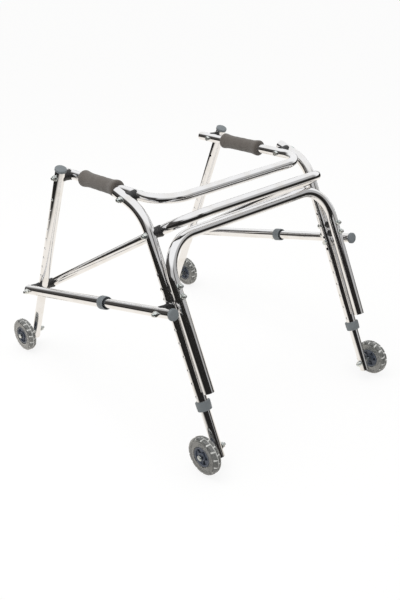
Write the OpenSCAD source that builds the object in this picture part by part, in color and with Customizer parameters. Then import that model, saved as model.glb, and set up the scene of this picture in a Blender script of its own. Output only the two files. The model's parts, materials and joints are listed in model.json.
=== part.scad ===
// Folding posterior walker: tubular frame that stands behind its user.
// X points to the user's right, Y the way the user walks, Z up.
// The origin lies on the floor, midway between the wheels.

/* [Wheels] */
// Distance between the front and rear axles
wheelbase = 834; // [760:1:900]
// Outside diameter of a tyre
wheel_d = 102; // [90:1:115]
// Width of a tyre
tyre_w = 26; // [22:1:32]
// Outside diameter of a wheel hub
hub_d = 54; // [48:1:60]
// Width of a wheel hub
hub_w = 23; // [20:1:26]
// Distance from the leg axis to the middle of the wheel
wheel_offset = 43; // [40:1:48]
// Diameter of an axle bolt
axle_d = 8; // [6:0.5:9]
// Outside diameter of the sleeve that a hub turns on
axle_sleeve_d = 13; // [11:0.5:15]
// Holes through a hub
hub_hole_count = 5; // [4:1:7]

/* [Legs] */
// Distance from the middle of the walker to a leg axis
leg_half_span = 301; // [270:1:330]
// Wall of every frame tube
tube_wall = 1.5; // [1.2:0.1:2]
// Backward lean of the front legs in degrees
front_tilt = 20.9; // [18:0.1:23]
// Outside diameter of a front leg tube
front_leg_d = 28.6; // [26:0.2:31]
// Front leg tube from the axle to its upper end
front_leg_top = 622; // [610:1:640]
// Front leg tube from the axle to its lower end
front_leg_bottom = 160; // [150:1:175]
// Front post's upper end below the top of its leg
front_post_drop = 72; // [50:1:100]
// Forward lean of the rear legs in degrees
rear_tilt = 25.2; // [23:0.1:27]
// Outside diameter of a rear leg tube
rear_leg_d = 28.6; // [27:0.2:30]
// Rear leg tube from the axle to its lower end
rear_leg_bottom = 112; // [100:1:130]
// Rear leg tube from the axle to the start of its bend
rear_straight = 566; // [550:1:580]
// Bend radius at the top of a rear leg
rear_bend_r = 106; // [90:1:130]
// Rise of a rear leg's top end above level in degrees
rear_top_rise = 15; // [10:1:20]
// Straight tube past the bend of a rear leg
rear_tail = 58; // [50:1:70]
// Rear post's upper end below the lower bar's pivot
rear_post_drop = 8; // [7:1:20]
// Length of a post below its axle
post_tail = 24; // [18:1:30]
// Diameter of the adjusting holes
row_hole_d = 8; // [7:0.5:9]
// Distance from one adjusting hole to the next
row_pitch = 35.5; // [25:0.5:36]
// Adjusting holes in a front leg
front_row_count = 9; // [6:1:9]
// Adjusting holes in a rear leg from its snap button down
rear_row_count = 7; // [4:1:7]

/* [Rails] */
// Outside diameter of the top and middle rails
rail_d = 25.4; // [22:0.2:27]
// Clear gap between a front leg and the rail beside it
rail_space = 11; // [9:0.5:20]
// Bend radius of the top rail
top_bend_r = 84; // [70:1:88]
// Top rail from its rear pivot back to its crossbar
top_back = 102; // [98:1:120]
// Top rail ahead of its front pivot
top_front = 43; // [35:1:50]
// Bend radius of the middle rail
middle_bend_r = 78; // [65:1:84]
// Middle rail from its rear pivot back to its crossbar
middle_back = 100; // [94:1:125]
// Middle rail ahead of its front pivot
middle_front = 20; // [17:1:26]
// Length of a hand grip as a share of the rail between its pivots
grip_share = 0.53; // [0.45:0.01:0.55]
// Diameter of a hand grip
grip_d = 41; // [36:1:43]
// Diameter of the lip at each end of a grip
grip_lip_d = 45; // [42:1:47]
// Rail between the front pivot and the grip, as a share of the same length
grip_gap_share = 0.21; // [0.18:0.01:0.23]

/* [Arch] */
// Outside diameter of the rear arch tube
arch_d = 28.6; // [25:0.2:30]
// Distance from a rear leg axis back to the arch
arch_offset = 37.5; // [36:0.5:42]
// Arch's cut lower ends above the lower end of a rear leg
arch_rise = 38; // [28:1:50]
// Arch's crossbar below the start of a rear leg's bend
arch_drop = 30; // [20:1:40]
// Bend radius of the arch
arch_bend_r = 94; // [80:1:105]
// Diameter of the blocks between the arch and the rear legs
arch_block_d = 19; // [17:0.5:21]

/* [Lower bars] */
// Clear gap between a front leg and the lower bar beside it
bar_space = 13.4; // [12:0.2:20]
// Outside diameter of the outer lower bar
bar_d = 28.6; // [26:0.2:30]
// Lower bar from its rear pivot back to the end of its tube
bar_back = 48; // [40:1:60]
// Lower bar from its rear pivot forward to the end of the outer tube
bar_collar = 232; // [226:1:250]
// Length of inner bar inside the outer bar
bar_overlap = 130; // [110:1:145]
// Outer bar ahead of its front pivot
bar_front = 16; // [15:1:30]
// Travel of a lower bar's button along the slot of the outer bar
bar_travel = 167; // [167:1:180]

/* [Pivots] */
// Top rail's pivot below the top of a front leg
front_high_drop = 21; // [18:1:32]
// Lower pivot above the lower end of a front leg
front_low_rise = 35; // [30:1:45]
// Rear leg from the axle up to the lower bar's pivot
rear_low_pivot = 376; // [368:1:392]
// Rear leg's pivot with the middle rail, below the bend
rear_middle_drop = 4; // [2:0.5:12]
// Top rail's pivot on the rear leg, past the bend
rear_high_pivot = 25; // [20:1:32]
// Diameter of the pivot bolts
bolt_d = 8; // [6:0.5:9]
// Width of a bolt head or nut across its corners
hex_d = 15; // [13:0.5:16]
// Height of a bolt head or nut
hex_h = 6; // [4:0.5:6]
// Bolt end that stands out of its nut
bolt_stub = 5; // [2:0.5:7]
// Diameter of a saddle washer at its tube
saddle_wide_d = 30; // [26:0.5:31]
// Diameter of a saddle washer at its flat face
saddle_flat_d = 27; // [22:0.5:28]

/* [Fittings] */
// Diameter of a front leg cap
cap_d = 33; // [31:0.5:36]
// Height of a cap's head
cap_h = 8; // [6:0.5:10]
// Depth of a cap's plug inside its tube
cap_plug = 14; // [10:1:18]
// Diameter of a lower bar's end cap
bar_cap_d = 31; // [29:0.5:34]
// Diameter of a rear leg collar
collar_d = 39; // [36:0.5:42]
// Height of a collar
collar_h = 24; // [20:1:28]
// Diameter of a lower bar collar
bar_collar_d = 37; // [34:0.5:40]
// Collar lip that laps past the end of its tube
collar_lip = 8; // [5:0.5:10]
// Height that a snap button stands out of its tube
button_rise = 2.5; // [1.5:0.5:4]

/* [Hidden] */
$fn = 64;
// Radial gap between a sliding tube and the tube around it
slide_gap = 0.08;
// Radial gap between a turning piece and its shaft
turn_gap = 0.06;
// Gap between the flat faces of two saddle washers
face_gap = 0.3;
// Gap between pieces bolted to each other
seat_gap = 0.05;
// Gap between a snap button and its hole
button_gap = 0.25;
// Run of a cut past the face that it leaves
overrun = 1;
// Thickness of a washer under a bolt head or nut
washer_h = 1.2;
// Diameter of a washer
washer_d = 17;
// Width of an axle nut or bolt head across its corners
axle_hex_d = 16;
// Height of an axle nut or bolt head
axle_hex_h = 6.5;
// Axle bolt end that stands out of its nut
axle_stub = 6;
// Rounding of a tyre's shoulders
tyre_round = 9;
// Depth of the recess in each hub face
hub_recess = 4;
// Wall between a hub's rim and its recess
hub_rim = 5;
// Wall around a hub's bore
hub_boss = 5;
// Diameter of the holes through a hub
hub_hole_d = 8;
// Rounding of cap edges
cap_round = 2.5;
// Width of a grip's end lip
grip_lip_w = 9;
// Thickness of a snap button's leaf spring
leaf_t = 1;
// Width of a snap button's leaf spring
leaf_w = 7;
// Length of a snap button's leaf spring
leaf_len = 34;
// Gap between a leaf spring and the wall above it
leaf_gap = 2;
// Lower arch bolt above the lower bar's pivot
arch_bolt_rise = 22;
// Distance between the bolts that hold the arch to a rear leg
arch_bolt_pitch = 26;
// Bolts that hold the arch to each rear leg
arch_bolt_count = 2;
// Front button from the post's upper end
front_button_drop = 22;
// Rear button from the post's upper end
rear_button_drop = 12;
// Adjusting holes of a rear leg above its snap button
rear_above_count = 3;
// Lower bar's snap button ahead of the collar's end of the outer tube
bar_button_gap = 34;
// Diameter of the spacer between a leg and its hub
axle_spacer_d = 19;
// Start of a saddle washer beside its tube's axis, as a share of the tube's radius
saddle_root_share = 0.3;
// Radius that the formed top end of a rear leg is drawn in by
rear_tail_draw = 0.4;
// Length of the formed top end inside the bend
rear_tail_root = 5;

wheel_r = wheel_d / 2;
axle_z = wheel_r;
front_axle_y = wheelbase / 2;
rear_axle_y = -wheelbase / 2;
front_leg_r = front_leg_d / 2;
rear_leg_r = rear_leg_d / 2;
rear_tail_r = rear_leg_r - rear_tail_draw;
rail_r = rail_d / 2;
bar_r = bar_d / 2;
arch_r = arch_d / 2;
front_post_r = front_leg_r - tube_wall - slide_gap;
rear_post_r = rear_leg_r - tube_wall - slide_gap;
inner_bar_r = bar_r - tube_wall - slide_gap;
rail_gap = front_leg_r + rail_space + rail_r;
bar_gap = front_leg_r + bar_space + bar_r;
rail_half_span = leg_half_span - rail_gap;
bar_half_span = leg_half_span + bar_gap;
front_post_top = front_leg_top - front_post_drop;
rear_post_top = rear_low_pivot - rear_post_drop;
arch_bottom = rear_leg_bottom + arch_rise;
arch_top = rear_straight - arch_drop;
front_high_pivot = front_leg_top - front_high_drop;
front_low_pivot = front_leg_bottom + front_low_rise;
rear_turn = 90 - rear_tilt - rear_top_rise;

// Points of the side profile, as [y, z]
function on_front(s) = [front_axle_y - s * sin(front_tilt), axle_z + s * cos(front_tilt)];
function on_rear(s) = [rear_axle_y + s * sin(rear_tilt), axle_z + s * cos(rear_tilt)];
function rear_bend_end() =
    on_rear(rear_straight)
    + rear_bend_r * [cos(rear_tilt) - sin(rear_top_rise), cos(rear_top_rise) - sin(rear_tilt)];
function lean(p, q) = atan2(q[0] - p[0], q[1] - p[1]);
rear_middle_pivot = rear_straight - rear_middle_drop;
pivot_a = on_front(front_high_pivot);
pivot_b = rear_bend_end() + rear_high_pivot * [cos(rear_top_rise), sin(rear_top_rise)];
pivot_c = on_rear(rear_middle_pivot);
pivot_d = on_front(front_low_pivot);
pivot_f = on_rear(rear_low_pivot);
top_len = norm(pivot_a - pivot_b);
grip_len = grip_share * top_len;
grip_start = top_len - grip_gap_share * top_len - grip_len;
middle_len = norm(pivot_d - pivot_c);
bar_len = norm(pivot_d - pivot_f);
bar_button = bar_collar + bar_button_gap;

chrome = [0.80, 0.80, 0.82];
foam = [0.41, 0.39, 0.37];
grey = [0.47, 0.49, 0.51];
black = [0.07, 0.07, 0.07];
zinc = [0.72, 0.75, 0.72];
tyre_grey = [0.62, 0.62, 0.59];
hub_grey = [0.27, 0.30, 0.36];

left = -1;
right = 1;

// Places children at a side profile point, with Z turned to lean forward by some degrees
module at_profile(p, forward = 0) {
    translate([0, p[0], p[1]]) rotate([-forward, 0, 0]) children();
}
module on_front_leg(side) {
    translate([side * leg_half_span, front_axle_y, axle_z]) rotate([front_tilt, 0, 0]) children();
}
module on_rear_leg(side) {
    translate([side * leg_half_span, rear_axle_y, axle_z]) rotate([-rear_tilt, 0, 0]) children();
}
// Frame of a rail or bar: Z runs forward along it from its rear pivot
module on_top_rail() { at_profile(pivot_b, lean(pivot_b, pivot_a)) children(); }
module on_middle_rail() { at_profile(pivot_c, lean(pivot_c, pivot_d)) children(); }
module on_lower_bar(side) {
    translate([side * bar_half_span, 0, 0]) at_profile(pivot_f, lean(pivot_f, pivot_d)) children();
}

module rod(from, to, r) { translate([0, 0, from]) cylinder(h = to - from, r = r); }
module straight_tube(from, to, r) {
    difference() {
        rod(from, to, r);
        rod(from - overrun, to + overrun, r - tube_wall);
    }
}
// Hole from the axis out through one wall, along +Y
module wall_hole(s, d, reach) { translate([0, 0, s]) rotate([-90, 0, 0]) cylinder(h = reach, d = d); }
// Hole right through a tube along X
module cross_hole(s, d, r) {
    translate([-r - overrun, 0, s]) rotate([0, 90, 0]) cylinder(h = 2 * (r + overrun), d = d);
}

// Solid U in the XZ plane: side tubes down to `low` and a crossbar at `high`
module u_solid(half, low, high, bend, r) {
    for (side = [left, right]) {
        translate([side * half, 0, 0]) rod(low, high - bend, r);
        mirror([side == left ? 1 : 0, 0, 0])
            translate([half - bend, 0, high - bend]) rotate([90, 0, 0])
                rotate_extrude(angle = 90) translate([bend, 0]) circle(r = r);
    }
    translate([bend - half, 0, high]) rotate([0, 90, 0]) cylinder(h = 2 * (half - bend), r = r);
}
module u_tube(half, low, high, bend, r) {
    difference() {
        u_solid(half, low, high, bend, r);
        u_solid(half, low - overrun, high, bend, r - tube_wall);
    }
}

// Saddle washer before it is hollowed for its tube, with its flat face at `reach` along +X
module saddle_blank(tube_r, reach) {
    root = saddle_root_share * tube_r;
    rotate([0, 90, 0]) difference() {
        translate([0, 0, root]) cylinder(h = reach - root, d1 = saddle_wide_d, d2 = saddle_flat_d);
        rod(root - overrun, reach + overrun, bolt_d / 2 + turn_gap);
    }
}
// Saddle washer that cradles a tube along Z
module saddle(tube_r, reach) {
    difference() {
        saddle_blank(tube_r, reach);
        rod(-saddle_wide_d, saddle_wide_d, tube_r + seat_gap);
    }
}
// Distance from a tube's axis to the flat face of its saddle, for a gap shared by two saddles
function saddle_reach(tube_r, other_r, spacing) = tube_r + (spacing - tube_r - other_r - face_gap) / 2;

// Bolt along X with its head at `from` and its shank up to `to`, both counted from the middle
module bolt(from, to, d, head_d, head_h) {
    rotate([0, 90, 0]) {
        translate([0, 0, from - head_h]) cylinder(h = head_h, d = head_d, $fn = 6);
        translate([0, 0, from]) cylinder(h = to - from, d = d);
    }
}
// Washer and nut along X, with their seat at `from`
module nut(from, d, wide, high) {
    rotate([0, 90, 0]) difference() {
        union() {
            translate([0, 0, from]) cylinder(h = washer_h, d = washer_d);
            translate([0, 0, from + washer_h]) cylinder(h = high, d = wide, $fn = 6);
        }
        translate([0, 0, from - overrun]) cylinder(h = washer_h + high + 2 * overrun, d = d + 2 * seat_gap);
    }
}
function seat_of(axis_x, r) = axis_x + r + seat_gap;
function stub_end(axis_x, r) = seat_of(axis_x, r) + washer_h + hex_h + bolt_stub;
rail_inside = rail_half_span - rail_r - seat_gap;

// Row of adjusting holes through both sides of a leg, from the highest down
module row_holes(highest, count, r) {
    for (i = [0 : count - 1]) cross_hole(highest - i * row_pitch, row_hole_d, r);
}
// Top rail with its bores for the pivot bolts
module top_rail() {
    color(chrome) on_top_rail() difference() {
        mirror([0, 0, 1]) u_tube(rail_half_span, -top_len - top_front, top_back, top_bend_r, rail_r);
        for (side = [left, right], s = [0, top_len])
            translate([side * rail_half_span, 0, 0]) cross_hole(s, bolt_d + 2 * seat_gap, rail_r);
    }
}
module grip(side) {
    color(foam) on_top_rail() translate([side * rail_half_span, 0, grip_start])
        difference() {
            union() {
                rod(0, grip_len, grip_d / 2);
                rod(0, grip_lip_w, grip_lip_d / 2);
                rod(grip_len - grip_lip_w, grip_len, grip_lip_d / 2);
            }
            rod(-overrun, grip_len + overrun, rail_r + seat_gap);
        }
}
module rail_saddles(places, radii) {
    for (side = [left, right], i = [0, 1])
        translate([side * rail_half_span, 0, places[i]]) mirror([side == left ? 1 : 0, 0, 0])
            saddle(rail_r, saddle_reach(rail_r, radii[i], rail_gap));
}
module top_rail_saddles() {
    color(black) on_top_rail() rail_saddles([0, top_len], [rear_tail_r, front_leg_r]);
}
module on_side(side) { mirror([side == left ? 1 : 0, 0, 0]) children(); }
module top_pivots(side) {
    on_side(side) at_profile(pivot_a) children(0);
    on_side(side) at_profile(pivot_b) children(1);
}
module top_pivot_bolts() {
    color(zinc) for (side = [left, right]) top_pivots(side) {
        bolt(rail_inside, stub_end(leg_half_span, front_leg_r), bolt_d, hex_d, hex_h);
        bolt(rail_inside, stub_end(leg_half_span, rear_tail_r), bolt_d, hex_d, hex_h);
    }
}
module top_pivot_nuts() {
    color(zinc) for (side = [left, right]) top_pivots(side) {
        nut(seat_of(leg_half_span, front_leg_r), bolt_d, hex_d, hex_h);
        nut(seat_of(leg_half_span, rear_tail_r), bolt_d, hex_d, hex_h);
    }
}

// Solid of a rear leg: straight tube, forward bend and short top end, drawn in a little
module rear_leg_solid(r, cut) {
    rod(rear_leg_bottom - cut, rear_straight, r);
    translate([0, rear_bend_r, rear_straight]) rotate([0, 0, -90]) rotate([90, 0, 0])
        rotate_extrude(angle = rear_turn) translate([rear_bend_r, 0]) circle(r = r);
    translate([0, rear_bend_r, rear_straight]) rotate([-rear_turn, 0, 0]) translate([0, -rear_bend_r, 0])
        rod(-rear_tail_root, rear_tail + cut, r - rear_tail_draw);
}
rear_button = rear_post_top - rear_button_drop;
module rear_leg(side) {
    color(chrome) difference() {
        on_rear_leg(side) difference() {
            rear_leg_solid(rear_leg_r, 0);
            rear_leg_solid(rear_leg_r - tube_wall, overrun);
            row_holes(rear_button + rear_above_count * row_pitch, rear_above_count + rear_row_count, rear_leg_r);
            cross_hole(rear_low_pivot, bolt_d + 2 * seat_gap, rear_leg_r);
            cross_hole(rear_middle_pivot, bolt_d + 2 * seat_gap, rear_leg_r);
            arch_bolt_places() translate([0, -rear_leg_d, 0]) rotate([-90, 0, 0])
                cylinder(h = 2 * rear_leg_d, d = bolt_d + 2 * seat_gap);
        }
        translate([side * leg_half_span, 0, 0]) at_profile(pivot_b)
            cross_hole(0, bolt_d + 2 * turn_gap, rear_leg_r);
    }
}
module rear_arch() {
    color(chrome) translate([0, rear_axle_y, axle_z]) rotate([-rear_tilt, 0, 0])
        difference() {
            translate([0, -arch_offset, 0])
                u_tube(leg_half_span, arch_bottom, arch_top, arch_bend_r, arch_r);
            for (side = [left, right]) translate([side * leg_half_span, -arch_offset - arch_d, 0])
                arch_bolt_places() rotate([-90, 0, 0]) cylinder(h = 2 * arch_d, d = bolt_d + 2 * seat_gap);
        }
}
module arch_bolt_places() {
    for (i = [0 : arch_bolt_count - 1])
        translate([0, 0, rear_low_pivot + arch_bolt_rise + i * arch_bolt_pitch]) children();
}
// Blocks between the arch and the rear legs, hollowed to fit both tubes
module arch_spacers() {
    color(black) for (side = [left, right]) on_rear_leg(side) arch_bolt_places() difference() {
        rotate([90, 0, 0]) cylinder(h = arch_offset, d = arch_block_d);
        rod(-arch_block_d, arch_block_d, rear_leg_r + seat_gap);
        translate([0, -arch_offset, 0]) rod(-arch_block_d, arch_block_d, arch_r + seat_gap);
        rotate([90, 0, 0]) cylinder(h = arch_offset, d = bolt_d + 2 * seat_gap);
    }
}
// Turns a bolt along X to run back along -Y instead
module backward() { rotate([0, 0, -90]) children(); }
module rear_frame_bolts() {
    color(zinc) for (side = [left, right]) {
        on_side(side) at_profile(pivot_c)
            bolt(rail_inside, stub_end(leg_half_span, rear_leg_r), bolt_d, hex_d, hex_h);
        on_side(side) at_profile(pivot_f)
            bolt(leg_half_span - rear_leg_r - seat_gap, stub_end(bar_half_span, inner_bar_r), bolt_d, hex_d, hex_h);
        on_rear_leg(side) arch_bolt_places() backward()
            bolt(-rear_leg_r - seat_gap, stub_end(arch_offset, arch_r), bolt_d, hex_d, hex_h);
    }
}
module rear_frame_nuts() {
    color(zinc) for (side = [left, right]) {
        on_side(side) at_profile(pivot_c) nut(seat_of(leg_half_span, rear_leg_r), bolt_d, hex_d, hex_h);
        on_side(side) at_profile(pivot_f) nut(seat_of(bar_half_span, inner_bar_r), bolt_d, hex_d, hex_h);
        on_rear_leg(side) arch_bolt_places() backward() nut(seat_of(arch_offset, arch_r), bolt_d, hex_d, hex_h);
    }
}
module rear_leg_saddles() {
    inner = saddle_reach(rear_leg_r, rail_r, rail_gap);
    color(black) for (side = [left, right]) {
        translate([side * leg_half_span, 0, 0]) at_profile(pivot_b, 90 - rear_top_rise)
            on_side(-side) saddle(rear_tail_r, saddle_reach(rear_tail_r, rail_r, rail_gap));
        on_rear_leg(side) {
            difference() {
                translate([0, 0, rear_middle_pivot]) on_side(-side) saddle_blank(rear_leg_r, inner);
                rear_leg_solid(rear_leg_r + seat_gap, 0);
            }
            translate([0, 0, rear_low_pivot])
                on_side(side) saddle(rear_leg_r, saddle_reach(rear_leg_r, inner_bar_r, bar_gap));
        }
    }
}
// Sleeve over the end of a tube with a lip around the tube that slides in it
module end_collar(end_s, high, lip, outer_r, tube_r, slide_r) {
    difference() {
        rod(end_s - lip, end_s - lip + high, outer_r);
        rod(end_s, end_s + high, tube_r + seat_gap);
        rod(end_s - lip - overrun, end_s + overrun, slide_r + slide_gap);
    }
}
module rear_leg_collars() {
    color(grey) for (side = [left, right]) on_rear_leg(side)
        end_collar(rear_leg_bottom, collar_h, collar_lip, collar_d / 2, rear_leg_r, rear_post_r);
}

front_button = front_post_top - front_button_drop;
module front_leg(side) {
    color(chrome) on_front_leg(side) difference() {
        straight_tube(front_leg_bottom, front_leg_top, front_leg_r);
        row_holes(front_button, front_row_count, front_leg_r);
        cross_hole(front_high_pivot, bolt_d + 2 * turn_gap, front_leg_r);
    }
}
// Domed cap with a plug, seated on a tube end at the origin
module tube_cap(d, plug_r) {
    rotate_extrude() {
        translate([0, seat_gap]) square([d / 2, cap_h - cap_round]);
        translate([0, seat_gap]) square([d / 2 - cap_round, cap_h]);
        translate([d / 2 - cap_round, cap_h - cap_round + seat_gap]) circle(r = cap_round);
    }
    rod(-cap_plug, seat_gap + cap_round, plug_r);
}
module front_cap(side) {
    color(grey) on_front_leg(side) translate([0, 0, front_leg_top])
        tube_cap(cap_d, front_leg_r - tube_wall - seat_gap);
}
module front_leg_saddles(side) {
    color(black) on_front_leg(side) {
        for (s = [front_high_pivot, front_low_pivot]) translate([0, 0, s])
            on_side(-side) saddle(front_leg_r, saddle_reach(front_leg_r, rail_r, rail_gap));
        translate([0, 0, front_low_pivot])
            on_side(side) saddle(front_leg_r, saddle_reach(front_leg_r, bar_r, bar_gap));
    }
}
module post(top, r, button_s) {
    difference() {
        straight_tube(-post_tail, top, r);
        cross_hole(0, axle_d + 2 * seat_gap, r);
        cross_hole(button_s, row_hole_d, r);
    }
}
module front_post(side) {
    color(chrome) on_front_leg(side) post(front_post_top, front_post_r, front_button);
}
module rear_post(side) {
    color(chrome) on_rear_leg(side) post(rear_post_top, rear_post_r, rear_button);
}
// Axle bolt, the sleeve that the hub turns on, and the nut inside the leg
module axle(side, post_r) {
    hub_out = wheel_offset + hub_w / 2;
    on_side(side) {
        rotate([0, 90, 0]) difference() {
            union() {
                rod(post_r + seat_gap, hub_out, axle_sleeve_d / 2);
                rod(post_r + seat_gap, hub_out - hub_w - face_gap, axle_spacer_d / 2);
            }
            rod(0, hub_out + overrun, axle_d / 2 + seat_gap);
        }
        mirror([1, 0, 0]) {
            bolt(-hub_out - face_gap, post_r + washer_h + axle_hex_h + axle_stub, axle_d, axle_hex_d, axle_hex_h);
            nut(post_r + seat_gap, axle_d, axle_hex_d, axle_hex_h);
        }
    }
}
module front_axle(side) { color(zinc) on_front_leg(side) axle(side, front_post_r); }
module rear_axle(side) { color(zinc) on_rear_leg(side) axle(side, rear_post_r); }

module at_wheel(side, y) {
    translate([side * (leg_half_span + wheel_offset), y, axle_z]) rotate([0, 90, 0]) children();
}
module tyre(side, y) {
    half = tyre_w / 2;
    seat = hub_d / 2 + seat_gap;
    color(tyre_grey) at_wheel(side, y) rotate_extrude() {
        translate([seat, -half + tyre_round]) square([wheel_r - seat, tyre_w - 2 * tyre_round]);
        translate([seat, -half]) square([wheel_r - tyre_round - seat, tyre_w]);
        for (end = [-1, 1]) translate([wheel_r - tyre_round, end * (half - tyre_round)]) circle(r = tyre_round);
    }
}
module hub(side, y) {
    recess_r = hub_d / 2 - hub_rim;
    boss_r = axle_sleeve_d / 2 + hub_boss;
    color(hub_grey) at_wheel(side, y) difference() {
        rod(-hub_w / 2, hub_w / 2, hub_d / 2);
        for (end = [-1, 1]) translate([0, 0, end * (hub_w / 2)]) difference() {
            rod(-hub_recess, hub_recess, recess_r);
            rod(-hub_recess - overrun, hub_recess + overrun, boss_r);
        }
        for (i = [0 : hub_hole_count - 1]) rotate([0, 0, i * 360 / hub_hole_count])
            translate([(recess_r + boss_r) / 2, 0, 0]) rod(-hub_w, hub_w, hub_hole_d / 2);
        rod(-hub_w, hub_w, axle_sleeve_d / 2 + turn_gap);
    }
}
// Snap button with its leaf spring, pointing along +Y out of a tube along Z
module snap_button(tube_r, post_r) {
    dome_r = row_hole_d / 2 - button_gap;
    leaf_y = post_r - tube_wall - leaf_gap - leaf_t;
    rotate([-90, 0, 0]) {
        rod(leaf_y + leaf_t / 2, tube_r + button_rise - dome_r / 2, dome_r);
        translate([0, 0, tube_r + button_rise - dome_r / 2]) cylinder(h = dome_r / 2, r1 = dome_r, r2 = dome_r / 2);
    }
    translate([-leaf_w / 2, leaf_y, -leaf_len + leaf_w / 2]) cube([leaf_w, leaf_t, leaf_len]);
}
// Turns a snap button to point out of the walker's side
module outward(side) { rotate([0, 0, -90 * side]) children(); }
module button_front(side) {
    color(zinc) on_front_leg(side) translate([0, 0, front_button]) outward(side) snap_button(front_leg_r, front_post_r);
}
module button_rear(side) {
    color(zinc) on_rear_leg(side) translate([0, 0, rear_button]) outward(side) snap_button(rear_leg_r, rear_post_r);
}
module button_bar(side) {
    color(zinc) on_lower_bar(side) translate([0, 0, bar_button]) snap_button(bar_r, inner_bar_r);
}

module middle_rail() {
    color(chrome) on_middle_rail() difference() {
        mirror([0, 0, 1]) u_tube(rail_half_span, -middle_len - middle_front, middle_back, middle_bend_r, rail_r);
        for (side = [left, right]) translate([side * rail_half_span, 0, 0]) {
            cross_hole(0, bolt_d + 2 * turn_gap, rail_r);
            cross_hole(middle_len, bolt_d + 2 * seat_gap, rail_r);
        }
    }
}
module middle_rail_saddles() {
    color(black) on_middle_rail() rail_saddles([0, middle_len], [rear_leg_r, front_leg_r]);
}
// Bolts of the front pivot that stay with the middle rail
module middle_rail_bolts() {
    color(zinc) for (side = [left, right]) on_side(side) at_profile(pivot_d)
        bolt(rail_inside, rail_half_span + saddle_reach(rail_r, front_leg_r, rail_gap), bolt_d, hex_d, hex_h);
}

module lower_bar_inner(side) {
    color(chrome) on_lower_bar(side) difference() {
        straight_tube(-bar_back, bar_collar + bar_overlap, inner_bar_r);
        cross_hole(0, bolt_d + 2 * turn_gap, inner_bar_r);
        wall_hole(bar_button, row_hole_d, bar_d);
    }
}
module lower_bar_cap(side) {
    color(grey) on_lower_bar(side) translate([0, 0, -bar_back]) mirror([0, 0, 1])
        tube_cap(bar_cap_d, inner_bar_r - tube_wall - seat_gap);
}
module lower_bar_saddle(side) {
    color(black) on_lower_bar(side)
        on_side(-side) saddle(inner_bar_r, saddle_reach(inner_bar_r, rear_leg_r, bar_gap));
}
// Slot in the outer bar's lower wall that the button runs along as the frame folds
module bar_slot() {
    for (s = [bar_button, bar_button + bar_travel]) wall_hole(s, row_hole_d, bar_d);
    translate([-row_hole_d / 2, 0, bar_button]) cube([row_hole_d, bar_d, bar_travel]);
}
module lower_bar_outer(side) {
    color(chrome) on_lower_bar(side) difference() {
        straight_tube(bar_collar, bar_len + bar_front, bar_r);
        bar_slot();
        cross_hole(bar_len, bolt_d + 2 * seat_gap, bar_r);
    }
}
module lower_bar_collar(side) {
    color(grey) on_lower_bar(side)
        end_collar(bar_collar, collar_h, collar_lip, bar_collar_d / 2, bar_r, inner_bar_r);
}
// Saddle, bolt and nut of the front pivot that stay with the outer bar
module lower_bar_pivot(side) {
    reach = saddle_reach(bar_r, front_leg_r, bar_gap);
    on_lower_bar(side) translate([0, 0, bar_len]) {
        color(black) on_side(-side) saddle(bar_r, reach);
        color(zinc) on_side(side) {
            rotate([0, 90, 0]) translate([0, 0, -reach])
                cylinder(h = reach + stub_end(0, bar_r), d = bolt_d);
            nut(seat_of(0, bar_r), bolt_d, hex_d, hex_h);
        }
    }
}

top_rail();
grip(left);  // grip_left
grip(right);  // grip_right
top_rail_saddles();
top_pivot_bolts();
top_pivot_nuts();
rear_leg(left);  // rear_leg_left
rear_leg(right);  // rear_leg_right
rear_arch();
arch_spacers();
rear_frame_bolts();
rear_frame_nuts();
rear_leg_saddles();
rear_leg_collars();
front_leg(left);  // front_leg_left
front_leg(right);  // front_leg_right
front_cap(left);  // front_cap_left
front_cap(right);  // front_cap_right
front_leg_saddles(left);  // front_leg_saddles_left
front_leg_saddles(right);  // front_leg_saddles_right
front_post(left);  // front_post_left
front_post(right);  // front_post_right
front_axle(left);  // front_axle_left
front_axle(right);  // front_axle_right
rear_post(left);  // rear_post_left
rear_post(right);  // rear_post_right
rear_axle(left);  // rear_axle_left
rear_axle(right);  // rear_axle_right
tyre(left, front_axle_y);  // tyre_front_left
tyre(right, front_axle_y);  // tyre_front_right
tyre(left, rear_axle_y);  // tyre_rear_left
tyre(right, rear_axle_y);  // tyre_rear_right
hub(left, front_axle_y);  // hub_front_left
hub(right, front_axle_y);  // hub_front_right
hub(left, rear_axle_y);  // hub_rear_left
hub(right, rear_axle_y);  // hub_rear_right
button_front(left);  // button_front_left
button_front(right);  // button_front_right
button_rear(left);  // button_rear_left
button_rear(right);  // button_rear_right
button_bar(left);  // button_bar_left
button_bar(right);  // button_bar_right
middle_rail();
middle_rail_saddles();
middle_rail_bolts();
lower_bar_inner(left);  // lower_bar_inner_left
lower_bar_inner(right);  // lower_bar_inner_right
lower_bar_cap(left);  // lower_bar_cap_left
lower_bar_cap(right);  // lower_bar_cap_right
lower_bar_saddle(left);  // lower_bar_saddle_left
lower_bar_saddle(right);  // lower_bar_saddle_right
lower_bar_outer(left);  // lower_bar_outer_left
lower_bar_outer(right);  // lower_bar_outer_right
lower_bar_collar(left);  // lower_bar_collar_left
lower_bar_collar(right);  // lower_bar_collar_right
lower_bar_pivot(left);  // lower_bar_pivot_left
lower_bar_pivot(right);  // lower_bar_pivot_right
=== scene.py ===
import json
import math

import bmesh
import bpy
from mathutils import Matrix, Vector


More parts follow.
